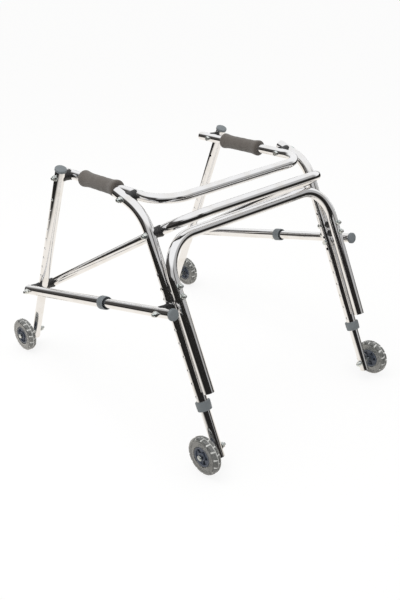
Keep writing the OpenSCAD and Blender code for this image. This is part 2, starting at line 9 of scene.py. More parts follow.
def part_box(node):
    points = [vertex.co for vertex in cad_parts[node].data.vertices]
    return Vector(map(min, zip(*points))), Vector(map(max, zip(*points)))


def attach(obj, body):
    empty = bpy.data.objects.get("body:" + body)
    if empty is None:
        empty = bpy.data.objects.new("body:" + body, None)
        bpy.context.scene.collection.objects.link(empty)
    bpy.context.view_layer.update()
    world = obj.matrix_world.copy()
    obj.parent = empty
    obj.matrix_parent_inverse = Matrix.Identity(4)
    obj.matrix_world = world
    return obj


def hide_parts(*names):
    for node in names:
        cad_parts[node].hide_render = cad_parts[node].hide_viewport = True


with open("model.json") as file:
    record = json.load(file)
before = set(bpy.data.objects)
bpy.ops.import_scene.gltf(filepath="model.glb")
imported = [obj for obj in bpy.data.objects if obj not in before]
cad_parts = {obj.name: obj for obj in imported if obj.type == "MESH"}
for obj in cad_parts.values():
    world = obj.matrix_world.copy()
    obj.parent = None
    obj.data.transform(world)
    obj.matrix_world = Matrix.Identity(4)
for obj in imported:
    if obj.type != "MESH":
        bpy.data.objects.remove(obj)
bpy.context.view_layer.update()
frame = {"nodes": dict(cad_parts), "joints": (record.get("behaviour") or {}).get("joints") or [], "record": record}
nodes = frame["nodes"]
bodyOf = {n: body for body, names in frame["record"]["behaviour"]["bodies"].items() for n in names}
joints = {j["name"]: j for j in frame["joints"]}
sides = {"left": -1, "right": 1}
ends = ("front", "rear")
scene = bpy.context.scene
scene.view_settings.view_transform = "Standard"
print("frame loaded:", len(nodes), "nodes")


# One socket of a node tree. Sums and products of sockets add Math nodes.
class Wire:
    def __init__(self, tree, socket=None):
        self.tree = tree
        self.socket = socket

    def make(self, kind, settings=None, inputs=None, out=0):
        made = self.tree.nodes.new(kind)
        for key, value in (settings or {}).items():
            setattr(made, key, value)
        for key, value in (inputs or {}).items():
            if isinstance(value, Wire):
                self.tree.links.new(value.socket, made.inputs[key])
            else:
                made.inputs[key].default_value = value
        return Wire(self.tree, made.outputs[out])

    def other(self, name):
        return Wire(self.tree, self.socket.node.outputs[name])

    def maths(self, operation, a, b=0.0, c=0.0):
        return self.make("ShaderNodeMath", {"operation": operation}, {0: a, 1: b, 2: c})

    def __add__(self, b):
        return self.maths("ADD", self, b)

    def __radd__(self, b):
        return self.maths("ADD", b, self)

    def __sub__(self, b):
        return self.maths("SUBTRACT", self, b)

    def __rsub__(self, b):
        return self.maths("SUBTRACT", b, self)

    def __mul__(self, b):
        return self.maths("MULTIPLY", self, b)

    def __rmul__(self, b):
        return self.maths("MULTIPLY", b, self)

    def smooth(self, low, high):
        return self.make("ShaderNodeMapRange", {"interpolation_type": "SMOOTHSTEP"},
                         {"Value": self, "From Min": low, "From Max": high})

    def tint(self, first, second):
        return self.make("ShaderNodeMix", {"data_type": "RGBA"}, {0: self, 6: first, 7: second}, out=2)


def rgb(r, g, b):
    return (r, g, b, 1.0)


def newMaterial(name):
    made = bpy.data.materials.new(name)
    made.use_nodes = True
    made.node_tree.nodes.clear()
    return made, Wire(made.node_tree)


def finishMaterial(wire, surface):
    output = wire.tree.nodes.new("ShaderNodeOutputMaterial")
    wire.tree.links.new(surface.socket, output.inputs["Surface"])


def finishPrincipled(wire, inputs):
    finishMaterial(wire, wire.make("ShaderNodeBsdfPrincipled", None, inputs))


def objectPlace(wire, stretch=(1, 1, 1)):
    place = wire.make("ShaderNodeTexCoord").other("Object")
    return wire.make("ShaderNodeMapping", None, {"Vector": place, "Scale": stretch})


def noise(wire, place, scale, detail):
    return wire.make("ShaderNodeTexNoise", None, {"Vector": place, "Scale": scale, "Detail": detail})


def cells(wire, place, scale):
    return wire.make("ShaderNodeTexVoronoi", {"feature": "F1"}, {"Vector": place, "Scale": scale})


def bump(wire, height, strength, distance):
    return wire.make("ShaderNodeBump", None, {"Height": height, "Strength": strength, "Distance": distance})


# Bright drawn tube: fine grain, soft smudges and a little warmth
tubeLook = {"bright": rgb(0.86, 0.86, 0.87), "warm": rgb(0.80, 0.785, 0.765), "rough": 0.075,
            "smudgeScale": 26.0, "smudgeDetail": 5.0, "smudgeEdge": (0.42, 0.75), "smudgeRough": 0.05,
            "grainScale": 900.0, "grainDetail": 2.0, "grainStrength": 0.08, "grainDepth": 0.00002}


def tubeMetal():
    made, wire = newMaterial("polished_tube")
    place = objectPlace(wire)
    smudge = noise(wire, place, tubeLook["smudgeScale"], tubeLook["smudgeDetail"])
    smudge = smudge.smooth(*tubeLook["smudgeEdge"])
    grain = noise(wire, place, tubeLook["grainScale"], tubeLook["grainDetail"])
    finishPrincipled(wire, {
        "Base Color": smudge.tint(tubeLook["bright"], tubeLook["warm"]),
        "Metallic": 1.0,
        "Roughness": tubeLook["rough"] + tubeLook["smudgeRough"] * smudge,
        "Normal": bump(wire, grain, tubeLook["grainStrength"], tubeLook["grainDepth"])})
    return made


# Closed-cell foam: fine pores, slight mottling, no gloss
foamLook = {"dark": rgb(0.048, 0.042, 0.036), "light": rgb(0.106, 0.092, 0.080),
            "poreScale": 900.0, "poreEdge": (0.0, 0.55), "poreShare": 0.55, "poreStrength": 0.55,
            "poreDepth": 0.0004, "mottleScale": 40.0, "mottleDetail": 4.0, "mottleShare": 0.35,
            "fineScale": 1530.0, "fineDetail": 2.0, "fineShare": 0.2, "fineHeight": 0.5,
            "rough": 0.95, "gloss": 0.2, "sheen": 0.25, "sheenRough": 0.6}


def foamRubber():
    made, wire = newMaterial("foam_grip")
    place = objectPlace(wire)
    pore = cells(wire, place, foamLook["poreScale"]).smooth(*foamLook["poreEdge"])
    mottle = noise(wire, place, foamLook["mottleScale"], foamLook["mottleDetail"])
    fine = noise(wire, place, foamLook["fineScale"], foamLook["fineDetail"])
    shade = foamLook["poreShare"] * pore + foamLook["mottleShare"] * mottle + foamLook["fineShare"] * fine
    height = pore + foamLook["fineHeight"] * fine
    finishPrincipled(wire, {
        "Base Color": shade.tint(foamLook["dark"], foamLook["light"]),
        "Roughness": foamLook["rough"],
        "Specular IOR Level": foamLook["gloss"],
        "Sheen Weight": foamLook["sheen"],
        "Sheen Roughness": foamLook["sheenRough"],
        "Normal": bump(wire, height, foamLook["poreStrength"], foamLook["poreDepth"])})
    return made


# Cast clear-grey tyre; its grooves are painted pale, a painted highlight for the light lines along the tread
tyreLook = {"tread": {"name": "cast_tyre", "deep": rgb(0.110, 0.114, 0.110), "pale": rgb(0.340, 0.345, 0.335),
                      "clear": 0.6},
            # groove colours are a painted highlight: pale colour in the grooves for the light lines along the
            # tread
            "groove": {"name": "tyre_grooves", "deep": rgb(0.56, 0.565, 0.54), "pale": rgb(0.86, 0.86, 0.83),
                       "clear": 0.15},
            "cloudScale": 34.0, "cloudDetail": 4.0, "cloudShare": 0.9, "cloudRough": 0.10,
            "speckScale": 420.0, "speckEdge": (0.1, 0.6), "speckShare": 0.15, "shift": 0.05,
            "speckStrength": 0.08, "speckDepth": 0.0002,
            "rough": 0.06, "coat": 0.8, "coatRough": 0.05, "bending": 1.45}


def castTyre(zone):
    look = tyreLook[zone]
    made, wire = newMaterial(look["name"])
    place = objectPlace(wire)
    cloud = noise(wire, place, tyreLook["cloudScale"], tyreLook["cloudDetail"])
    speck = cells(wire, place, tyreLook["speckScale"]).smooth(*tyreLook["speckEdge"])
    shade = tyreLook["cloudShare"] * cloud + tyreLook["speckShare"] * speck - tyreLook["shift"]
    finishPrincipled(wire, {
        "Base Color": shade.tint(look["deep"], look["pale"]),
        "Roughness": tyreLook["rough"] + tyreLook["cloudRough"] * cloud,
        "Coat Weight": tyreLook["coat"],
        "Coat Roughness": tyreLook["coatRough"],
        "Transmission Weight": look["clear"],
        "IOR": tyreLook["bending"],
        "Normal": bump(wire, speck, tyreLook["speckStrength"], tyreLook["speckDepth"])})
    return made


# Moulded plastic in three colours, cloudy and a little scuffed
plasticLook = {"hub": {"name": "hub_plastic", "dark": rgb(0.055, 0.065, 0.088),
                       "light": rgb(0.110, 0.128, 0.165), "rough": 0.34},
               "saddle": {"name": "black_saddle", "dark": rgb(0.010, 0.010, 0.011),
                          "light": rgb(0.028, 0.027, 0.027), "rough": 0.42},
               "fitting": {"name": "grey_fitting", "dark": rgb(0.126, 0.143, 0.152),
                           "light": rgb(0.192, 0.210, 0.222), "rough": 0.44},
               "cloudScale": 55.0, "cloudDetail": 4.0, "cloudShare": 0.8, "cloudRough": 0.12,
               "scuffScale": 160.0, "scuffDetail": 3.0, "scuffStretch": (1, 1, 0.25),
               "scuffEdge": (0.58, 0.74), "scuffShare": 0.35, "scuffRough": 0.1,
               "grainScale": 1400.0, "grainDetail": 2.0, "grainStrength": 0.3, "grainDepth": 0.00008}


def mouldedPlastic(piece):
    look = plasticLook[piece]
    made, wire = newMaterial(look["name"])
    place = objectPlace(wire)
    cloud = noise(wire, place, plasticLook["cloudScale"], plasticLook["cloudDetail"])
    grain = noise(wire, place, plasticLook["grainScale"], plasticLook["grainDetail"])
    drawn = objectPlace(wire, plasticLook["scuffStretch"])
    scuff = noise(wire, drawn, plasticLook["scuffScale"], plasticLook["scuffDetail"])
    scuff = scuff.smooth(*plasticLook["scuffEdge"])
    shade = plasticLook["cloudShare"] * cloud + plasticLook["scuffShare"] * scuff
    wear = plasticLook["cloudRough"] * cloud + plasticLook["scuffRough"] * scuff
    finishPrincipled(wire, {
        "Base Color": shade.tint(look["dark"], look["light"]),
        "Roughness": look["rough"] + wear,
        "Normal": bump(wire, grain, plasticLook["grainStrength"], plasticLook["grainDepth"])})
    return made


# Zinc plate: cloudy, with a faint green and yellow cast
zincLook = {"green": rgb(0.70, 0.755, 0.75), "straw": rgb(0.80, 0.81, 0.78), "cloudScale": 130.0,
            "cloudDetail": 4.0, "cloudEdge": (0.35, 0.65), "rough": 0.2, "cloudRough": 0.16,
            "grainScale": 1800.0, "grainDetail": 2.0, "grainStrength": 0.12, "grainDepth": 0.00004}


def zincPlate():
    made, wire = newMaterial("zinc_plate")
    place = objectPlace(wire)
    cloud = noise(wire, place, zincLook["cloudScale"], zincLook["cloudDetail"])
    grain = noise(wire, place, zincLook["grainScale"], zincLook["grainDetail"])
    cast = cloud.smooth(*zincLook["cloudEdge"])
    finishPrincipled(wire, {
        "Base Color": cast.tint(zincLook["green"], zincLook["straw"]),
        "Metallic": 1.0,
        "Roughness": zincLook["rough"] + zincLook["cloudRough"] * cloud,
        "Normal": bump(wire, grain, zincLook["grainStrength"], zincLook["grainDepth"])})
    return made


finishes = {"tube": tubeMetal(), "foam": foamRubber(), "zinc": zincPlate()}
for zone in ("tread", "groove"):
    finishes[zone] = castTyre(zone)
for piece in ("hub", "saddle", "fitting"):
    finishes[piece] = mouldedPlastic(piece)
for row in frame["record"]["subparts"]:
    mesh = nodes[row["node"]].data
    mesh.materials.clear()
    mesh.materials.append(finishes[row["material_slot"]])
print("finishes made:", len(finishes))


# Camera of the photo, for a 400 by 600 frame
cameraView = {"place": (-1.4195, -1.5656, 1.2951), "yaw": 42.744, "pitch": 27.223, "roll": -0.228,
              "lens": 47.477, "sensor": 36}


def addCamera():
    yaw = math.radians(cameraView["yaw"])
    pitch = math.radians(cameraView["pitch"])
    roll = math.radians(cameraView["roll"])
    ahead = Vector((math.sin(yaw) * math.cos(pitch), math.cos(yaw) * math.cos(pitch), -math.sin(pitch)))
    level = Vector((math.cos(yaw), -math.sin(yaw), 0))
    over = level.cross(ahead)
    across = math.cos(roll) * level + math.sin(roll) * over
    up = -math.sin(roll) * level + math.cos(roll) * over
    turn = Matrix((across, up, -ahead)).transposed().to_4x4()
    data = bpy.data.cameras.new("photo_camera")
    data.lens = cameraView["lens"]
    data.sensor_width = cameraView["sensor"]
    camera = bpy.data.objects.new("photo_camera", data)
    camera.matrix_world = Matrix.Translation(cameraView["place"]) @ turn
    scene.collection.objects.link(camera)
    scene.camera = camera


addCamera()

# Pale floor that keeps a soft shadow, white backdrop, and a dark studio side for the metal to show
studio = {"light": rgb(1.0, 1.0, 1.0), "glow": rgb(1.0, 0.955, 0.89), "dark": rgb(0.065, 0.061, 0.058),
          "black": rgb(0.018, 0.017, 0.016), "floorColour": rgb(0.90, 0.895, 0.885), "floorHalf": 9.0,
          "whiteShare": 0.84, "sheetCentre": (0.30, 0.80, 0.0), "sheetEdge": (1.15, 1.75),
          "sheetLeft": (-1.10, -0.84), "darkYaw": -146.0, "darkHalf": 125.0, "darkFade": (-0.35, 0.25),
          "darkTop": (0.46, 0.66), "paleLow": (0.02, 0.16), "paleFade": 0.12, "fill": 0.90,
          "paleSides": ({"yaw": -58.0, "half": 26.0, "share": 0.45},
                        {"yaw": -133.0, "half": 30.0, "share": 0.55})}


def addSheet(name, corners, material):
    mesh = bpy.data.meshes.new(name)
    mesh.from_pydata(corners, [], [(0, 1, 2, 3)])
    mesh.materials.append(material)
    sheet = bpy.data.objects.new(name, mesh)
    scene.collection.objects.link(sheet)
    return sheet


def emission(wire, colour):
    return wire.make("ShaderNodeEmission", None, {"Color": colour, "Strength": 1.0})


def addFloor():
    made, wire = newMaterial("pale_floor")
    path = wire.make("ShaderNodeLightPath")
    seen = wire.maths("MAXIMUM", path.other("Is Camera Ray"), path.other("Is Transmission Ray"))
    place = objectPlace(wire)
    reach = wire.make("ShaderNodeVectorMath", {"operation": "DISTANCE"},
                      {0: place, 1: studio["sheetCentre"]}, out=1)
    inside = wire.make("ShaderNodeSeparateXYZ", None, {0: place}).other("X").smooth(*studio["sheetLeft"])
    near = inside * (1 - reach.smooth(*studio["sheetEdge"]))
    plain = wire.make("ShaderNodeBsdfDiffuse", None, {"Color": studio["floorColour"]})
    white = emission(wire, studio["light"])
    shown = emission(wire, near.tint(studio["black"], studio["glow"]))
    lit = wire.make("ShaderNodeMixShader", None, {0: studio["whiteShare"] * seen, 1: plain, 2: white})
    finishMaterial(wire, wire.make("ShaderNodeMixShader", None,
                                   {0: path.other("Is Glossy Ray"), 1: lit, 2: shown}))
    half = studio["floorHalf"]
    corners = [(-half, -half, 0), (half, -half, 0), (half, half, 0), (-half, half, 0)]
    floor = addSheet("floor", corners, made)


def addWorld():
    world = bpy.data.worlds.new("studio")
    scene.world = world
    world.use_nodes = True
    world.node_tree.nodes.clear()
    wire = Wire(world.node_tree)
    ray = wire.make("ShaderNodeTexCoord").other("Generated")
    split = wire.make("ShaderNodeSeparateXYZ", None, {0: ray})
    height = split.other("Z")
    yaw = wire.maths("ARCTAN2", split.other("Y"), split.other("X"))

    def apart(degrees):  # how far a ray lies round from a compass direction, in radians
        wrapped = wire.maths("WRAP", yaw - math.radians(degrees), math.pi, -math.pi)
        return wire.maths("ABSOLUTE", wrapped)

    def backdrop(colour, strength):
        return wire.make("ShaderNodeBackground", None, {"Color": colour, "Strength": strength})

    half = math.radians(studio["darkHalf"])
    before, after = studio["darkFade"]
    low = 1 - height.smooth(*studio["darkTop"])
    shade = low * (1 - apart(studio["darkYaw"]).smooth(half + before, half + after))
    above = height.smooth(*studio["paleLow"])
    for side in studio["paleSides"]:
        paleHalf = math.radians(side["half"])
        pale = 1 - apart(side["yaw"]).smooth(paleHalf - studio["paleFade"], paleHalf + studio["paleFade"])
        shade = shade * (1 - side["share"] * pale * above)
    glossy = backdrop(shade.tint(studio["light"], studio["dark"]), 1.0)
    soft = backdrop(studio["light"], studio["fill"])
    white = backdrop(studio["light"], 1.0)
    path = wire.make("ShaderNodeLightPath")
    lit = wire.make("ShaderNodeMixShader", None, {0: path.other("Is Glossy Ray"), 1: soft, 2: glossy})
    seen = wire.maths("MAXIMUM", path.other("Is Camera Ray"), path.other("Is Transmission Ray"))
    surface = wire.make("ShaderNodeMixShader", None, {0: seen, 1: lit, 2: white})
    output = wire.tree.nodes.new("ShaderNodeOutputWorld")
    wire.tree.links.new(surface.socket, output.inputs["Surface"])


# Low black flag on the camera's side, that only the metal shows
flagShape = {"yaw": -128.5, "away": 1.6, "left": -1.7, "right": 1.9, "leftTop": 0.70, "rightTop": 0.95}


def addFlag():
    yaw = math.radians(flagShape["yaw"])
    middle = flagShape["away"] * Vector((math.cos(yaw), math.sin(yaw), 0))
    beside = Vector((-math.sin(yaw), math.cos(yaw), 0))
    left = middle + flagShape["left"] * beside
    right = middle + flagShape["right"] * beside
    leftTop = left + Vector((0, 0, flagShape["leftTop"]))
    rightTop = right + Vector((0, 0, flagShape["rightTop"]))
    made, wire = newMaterial("black_flag")
    finishMaterial(wire, emission(wire, studio["black"]))
    flag = addSheet("flag", [left, right, rightTop, leftTop], made)
    for kind in ("camera", "diffuse", "transmission", "volume_scatter", "shadow"):
        setattr(flag, "visible_" + kind, False)


lampShape = {"place": (-0.6, 0.3, 2.6), "target": (0, 0, 0.3), "size": 2.0, "power": 26.0}


def addLamp():
    data = bpy.data.lights.new("soft_key", "AREA")
    data.shape = "DISK"
    data.size = lampShape["size"]
    data.energy = lampShape["power"]
    lamp = bpy.data.objects.new("soft_key", data)
    aim = Vector(lampShape["target"]) - Vector(lampShape["place"])
    turn = aim.to_track_quat("-Z", "Y").to_matrix().to_4x4()
    lamp.matrix_world = Matrix.Translation(lampShape["place"]) @ turn
    lamp.visible_glossy = False
    scene.collection.objects.link(lamp)


addFloor()
addWorld()
addFlag()
addLamp()
print("studio set")


# Straight lines of the frame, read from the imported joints
def jointPlace(name):
    return Vector(joints[name]["pos_m"])


def jointAxis(name):
    return Vector(joints[name]["axis"])


def middleX(node):
    low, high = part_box(node)
    return (low.x + high.x) / 2


# A leg's or lower bar's line, as a start point and a direction
def legLine(end, side):
    start = jointPlace("wheel_spin_" + end + "_" + side)
    start.x = middleX(end + "_post_" + side)
    return start, -jointAxis(end + "_post_slide_" + side)


def barLine(side):
    start = jointPlace("bar_hinge_" + side)
    start.x = middleX("lower_bar_inner_" + side)
    return start, -jointAxis("bar_slide_" + side)


frontHigh = jointPlace("front_fold_left")
rearHigh = jointPlace("rear_fold")
railAhead = (frontHigh - rearHigh).normalized()


def axisFrame(place, axis):
    turn = Vector((0, 0, 1)).rotation_difference(axis).to_matrix().to_4x4()
    return Matrix.Translation(place) @ turn


# Shapes are welded within these distances, in metres
joinWithin = {"axis": 1e-7, "vertices": 0.000002}


# Turned shape: rings of (place along the axis, radius), closed on itself or ending on the axis
def turned(rings, segments, closed=True):
    shape = bmesh.new()
    turns = [2 * math.pi * i / segments for i in range(segments)]
    rows = []
    for along, radius in rings:
        if radius < joinWithin["axis"]:
            rows.append([shape.verts.new((0, 0, along))])
        else:
            rows.append([shape.verts.new((radius * math.cos(a), radius * math.sin(a), along)) for a in turns])
    pairs = list(zip(rows, rows[1:]))
    if closed:
        pairs.append((rows[-1], rows[0]))
    for a, b in pairs:
        for i in range(segments):
            j = (i + 1) % segments
            corners = [a[i % len(a)], a[j % len(a)], b[j % len(b)], b[i % len(b)]]
            shape.faces.new(list(dict.fromkeys(corners)))
    bmesh.ops.recalc_face_normals(shape, faces=shape.faces)
    return shape


# Skin over rows of vertices, with a face on each end
def loft(shape, rows):
    for a, b in zip(rows, rows[1:]):
        for i in range(len(a)):
            j = (i + 1) % len(a)
            shape.faces.new((a[i], a[j], b[j], b[i]))
    shape.faces.new(list(reversed(rows[0])))
    shape.faces.new(rows[-1])


def toMesh(name, shape):
    mesh = bpy.data.meshes.new(name)
    shape.to_mesh(mesh)
    shape.free()
    return mesh


def joined(shapes):
    whole = bmesh.new()
    for shape in shapes:
        mesh = toMesh("part", shape)
        whole.from_mesh(mesh)
        bpy.data.meshes.remove(mesh)
    return whole


# A CAD node's loose triangles, welded in a copy
def weldedCopy(node):
    shape = bmesh.new()
    shape.from_mesh(nodes[node].data)
    bmesh.ops.remove_doubles(shape, verts=shape.verts, dist=joinWithin["vertices"])
    return shape


def arc(along, radius, size, first, last, steps):
    angles = [math.radians(first + (last - first) * i / steps) for i in range(steps + 1)]
    return [(along + size * math.sin(a), radius + size * math.cos(a)) for a in angles]


def domeRings(foot, base, radius, rise, steps):
    turns = [math.pi / 2 * i / steps for i in range(steps + 1)]
    dome = [(base + rise * math.sin(a), radius * math.cos(a)) for a in turns]
    return [(foot, 0.0), (foot, radius)] + dome


# A finished mesh becomes a piece that stands for a CAD node
def standIn(name, mesh, node, slot, crease):
    if not mesh.materials:
        mesh.materials.append(finishes[slot])
    mesh.shade_smooth()
    mesh.set_sharp_from_angle(angle=math.radians(crease))
    piece = bpy.data.objects.new(name, mesh)
    scene.collection.objects.link(piece)
    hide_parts(node)
    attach(piece, bodyOf[node])
    return piece


# Foam grip: waisted sleeve with a rounded flare at each end
gripShape = {"body": 0.0203, "waist": 0.0009, "flare": 0.0225, "flareLength": 0.020, "round": 0.0060,
             "roundSteps": 6, "bore": 0.01285, "rows": 40, "segments": 96, "crease": 60,
             "dent": 0.00035, "ripples": (9.0, 23.0), "rippleShift": 0.7}


def gripRings(length):
    rings = []
    rows = gripShape["rows"]
    edge = gripShape["round"]
    slow, quick = gripShape["ripples"]
    for i in range(rows + 1):
        t = i / rows
        along = edge + t * (length - 2 * edge)
        fromEnd = min(along, length - along)
        rise = max(0.0, 1 - (fromEnd - edge) / gripShape["flareLength"])
        lift = rise * rise * (3 - 2 * rise) * (gripShape["flare"] - gripShape["body"])
        waist = gripShape["waist"] * math.sin(math.pi * t)
        ripple = gripShape["dent"] * math.sin(slow * t + gripShape["rippleShift"]) * math.sin(quick * t)
        rings.append((along, gripShape["body"] + lift - waist + ripple))
    inner = gripShape["flare"] - edge
    head = arc(edge, inner, edge, -90, 0, gripShape["roundSteps"])
    tail = arc(length - edge, inner, edge, 0, 90, gripShape["roundSteps"])
    bore = gripShape["bore"]
    return [(0.0, bore)] + head[:-1] + rings + tail[1:] + [(length, bore)]


def addGrip(side):
    node = "grip_" + side
    low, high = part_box(node)
    lip = 2 * gripShape["flare"]
    length = ((high.y - low.y) - lip * abs(railAhead.z)) / abs(railAhead.y)
    start = (low + high) / 2 - railAhead * (length / 2)
    shape = turned(gripRings(length), gripShape["segments"])
    shape.transform(axisFrame(start, railAhead))
    name = "foam_" + node
    grip = standIn(name, toMesh(name, shape), node, "foam", gripShape["crease"])


for side in sides:
    addGrip(side)
print("grips made")


# Geometry Nodes trees, each with named inputs and one output
def newTree(name, inputs):
    tree = bpy.data.node_groups.new(name, "GeometryNodeTree")
    for label, kind in inputs.items():
        tree.interface.new_socket(label, in_out="INPUT", socket_type="NodeSocket" + kind)
    tree.interface.new_socket("Shape", in_out="OUTPUT", socket_type="NodeSocketGeometry")
    return tree, Wire(tree)


def finishTree(tree, shape):
    last = tree.nodes.new("NodeGroupOutput")
    tree.links.new(shape.socket, last.inputs["Shape"])


def dressedCopies(wire, given, block, points, turn):
    one = wire.make("GeometryNodeObjectInfo", None, {"Object": given.other(block)}).other("Geometry")
    copies = wire.make("GeometryNodeInstanceOnPoints", None,
                       {"Points": points, "Instance": one, "Rotation": turn})
    solid = wire.make("GeometryNodeRealizeInstances", None, {"Geometry": copies})
    return wire.make("GeometryNodeSetMaterial", None, {"Geometry": solid, "Material": given.other("Finish")})


# Copies of a block, turned round the Z axis and joined to the base shape
def ringTree():
    tree, wire = newTree("ring_of_blocks", {"Base": "Geometry", "Block": "Object", "Count": "Int",
                                            "Start": "Float", "Finish": "Material"})
    given = wire.make("NodeGroupInput")
    count = given.other("Count")
    points = wire.make("GeometryNodePoints", None, {"Count": count})
    step = wire.maths("DIVIDE", 2 * math.pi, count)
    angle = wire.make("GeometryNodeInputIndex") * step + given.other("Start")
    turn = wire.make("ShaderNodeCombineXYZ", None, {"Z": angle})
    dressed = dressedCopies(wire, given, "Block", points, turn)
    whole = wire.make("GeometryNodeJoinGeometry")
    for shape in (dressed, given.other("Base")):
        tree.links.new(shape.socket, whole.socket.node.inputs[0])
    finishTree(tree, whole)
    return tree


# One fastener on each point, standing along the point's "facing" attribute
def fastenerTree():
    tree, wire = newTree("fasteners_on_points", {"Places": "Geometry", "Fastener": "Object",
                                                 "Finish": "Material"})
    given = wire.make("NodeGroupInput")
    facing = wire.make("GeometryNodeInputNamedAttribute", {"data_type": "FLOAT_VECTOR"}, {"Name": "facing"})
    turn = wire.make("FunctionNodeAlignRotationToVector", {"axis": "Z"}, {"Vector": facing})
    finishTree(tree, dressedCopies(wire, given, "Fastener", given.other("Places"), turn))
    return tree


ringNodes = ringTree()
fastenerNodes = fastenerTree()


def applyNodes(base, tree, values):
    modifier = base.modifiers.new(tree.name, "NODES")
    modifier.node_group = tree
    for item in tree.interface.items_tree:
        if item.in_out == "INPUT" and item.name in values:
            modifier[item.identifier] = values[item.name]
    depsgraph = bpy.context.evaluated_depsgraph_get()
    mesh = bpy.data.meshes.new_from_object(base.evaluated_get(depsgraph))
    base.modifiers.remove(modifier)
    return mesh


# Objects that the trees read, which are removed again
def addHelper(name, mesh):
    helper = bpy.data.objects.new(name, mesh)
    scene.collection.objects.link(helper)
    return helper


def removeHelpers(*helpers):
    for helper in helpers:
        bpy.data.objects.remove(helper)


def wheelFrame(end, side):
    return axisFrame(jointPlace("wheel_spin_" + end + "_" + side), Vector((sides[side], 0, 0)))


def addToWheels(prefix, kind, mesh, slot, crease):
    for end in ends:
        for side in sides:
            node = kind + "_" + end + "_" + side
            own = mesh.copy()
            own.transform(wheelFrame(end, side))
            standIn(prefix + node, own, node, slot, crease)


# Tyre: rounded carcass with two staggered rows of tread blocks that wrap over the shoulders
tyreShape = {"radius": 0.051, "half": 0.013, "seat": 0.02705, "shoulder": 0.009, "shoulderSteps": 10,
             "beadEdge": 0.002, "beadHigh": 0.004, "beadStep": 0.001, "segments": 120, "crease": 40,
             "groove": 0.0017, "centreGroove": 0.0034, "blocks": 14, "blockShare": 0.87, "blockReach": 0.0118,
             "taper": 0.10, "slant": 0.0026, "steps": 6, "sink": 0.0008, "bevel": 0.0003,
             "profile": (0.5, 0.475, 0.46, 0.3, 0.1), "start": 0.05}
blockPitch = 2 * math.pi * tyreShape["radius"] / tyreShape["blocks"]


def treadRadius(out):
    size = tyreShape["shoulder"]
    past = max(0.0, out - (tyreShape["half"] - size))
    return tyreShape["radius"] - size + math.sqrt(max(0.0, size * size - past * past))


def carcassRings():
    half = tyreShape["half"]
    size = tyreShape["shoulder"]
    steps = tyreShape["shoulderSteps"]
    seat = tyreShape["seat"]
    edge = tyreShape["beadEdge"]
    low = tyreShape["radius"] - tyreShape["groove"] - size
    bead = [(-half, seat + edge), (-half + tyreShape["beadStep"], seat + tyreShape["beadHigh"])]
    crown = arc(size - half, low, size, -90, 0, steps) + arc(half - size, low, size, 0, 90, steps)
    otherBead = [(-along, radius) for along, radius in reversed(bead)]
    return bead + crown + otherBead + [(half - edge, seat), (-half + edge, seat)]


def addTreadBlock(shape, side, middle):
    reach = tyreShape["blockReach"]
    near = tyreShape["centreGroove"] / 2
    depths = (tyreShape["groove"] + tyreShape["sink"], tyreShape["bevel"], 0.0, 0.0, 0.0)
    half = list(zip(tyreShape["profile"], depths))
    profile = [(-share, depth) for share, depth in half] + half[::-1]
    rows = []
    for i in range(tyreShape["steps"] + 1):
        out = near + (reach - near) * i / tyreShape["steps"]
        slew = middle + tyreShape["slant"] * (out / reach - 0.5)
        width = tyreShape["blockShare"] * blockPitch * (1 - tyreShape["taper"] * out / reach)
        row = []
        for share, depth in profile:
            turn = (slew + share * width) / tyreShape["radius"]
            radius = treadRadius(out) - depth
            row.append(shape.verts.new((radius * math.cos(turn), radius * math.sin(turn), side * out)))
        rows.append(row)
    loft(shape, rows)


def treadPair():
    shape = bmesh.new()
    addTreadBlock(shape, -1, 0.0)
    addTreadBlock(shape, 1, blockPitch / 2)
    bmesh.ops.recalc_face_normals(shape, faces=shape.faces)
    return shape


def addTyres():
    block = addHelper("tread_block", toMesh("tread_block", treadPair()))
    carcass = addHelper("carcass", toMesh("carcass", turned(carcassRings(), tyreShape["segments"])))
    for zone in ("tread", "groove"):
        carcass.data.materials.append(finishes[zone])
    for face in carcass.data.polygons:  # what shows between the blocks is painted pale, a painted highlight for the light lines along the tread
        outer = face.center.xy.length > tyreShape["radius"] - tyreShape["shoulder"]
        if outer and abs(face.center.z) < tyreShape["blockReach"] - tyreShape["sink"]:
            face.material_index = 1
    mesh = applyNodes(carcass, ringNodes, {"Block": block, "Count": tyreShape["blocks"],
                                           "Start": tyreShape["start"], "Finish": finishes["tread"]})
    addToWheels("treaded_", "tyre", mesh, "tread", tyreShape["crease"])
    removeHelpers(block, carcass)


addTyres()
print("tyres made")

# Hub: rim and boss joined by broad spokes, with a rounded slot between each pair
hubShape = {"rim": 0.0270, "rimInner": 0.0218, "half": 0.0115, "boss": 0.0112, "bore": 0.00656,
            "webHalf": 0.0075, "slot": 0.0078, "spokes": 5, "start": 0.3, "overlap": 0.0008,
            "chamfer": 0.0009, "arcSteps": 8, "rimSegments": 96, "bossSegments": 64, "crease": 32}


def ringProfile(inner, outer):
    half = hubShape["half"]
    edge = hubShape["chamfer"]
    return [(-half + edge, inner), (-half, inner + edge), (-half, outer - edge), (-half + edge, outer),
            (half - edge, outer), (half, outer - edge), (half, inner + edge), (half - edge, inner)]


def spokeOutline(inset):
    outline = []
    steps = hubShape["arcSteps"]
    inner = hubShape["boss"] - hubShape["overlap"] + inset
    outer = hubShape["rimInner"] + hubShape["overlap"] - inset
    for radius, way in ((inner, 1), (outer, -1)):
        spread = math.pi / hubShape["spokes"] - math.asin((hubShape["slot"] / 2 + inset) / radius)
        for i in range(steps + 1):
            turn = way * spread * (2 * i / steps - 1)
            outline.append((radius * math.cos(turn), radius * math.sin(turn)))
    return outline


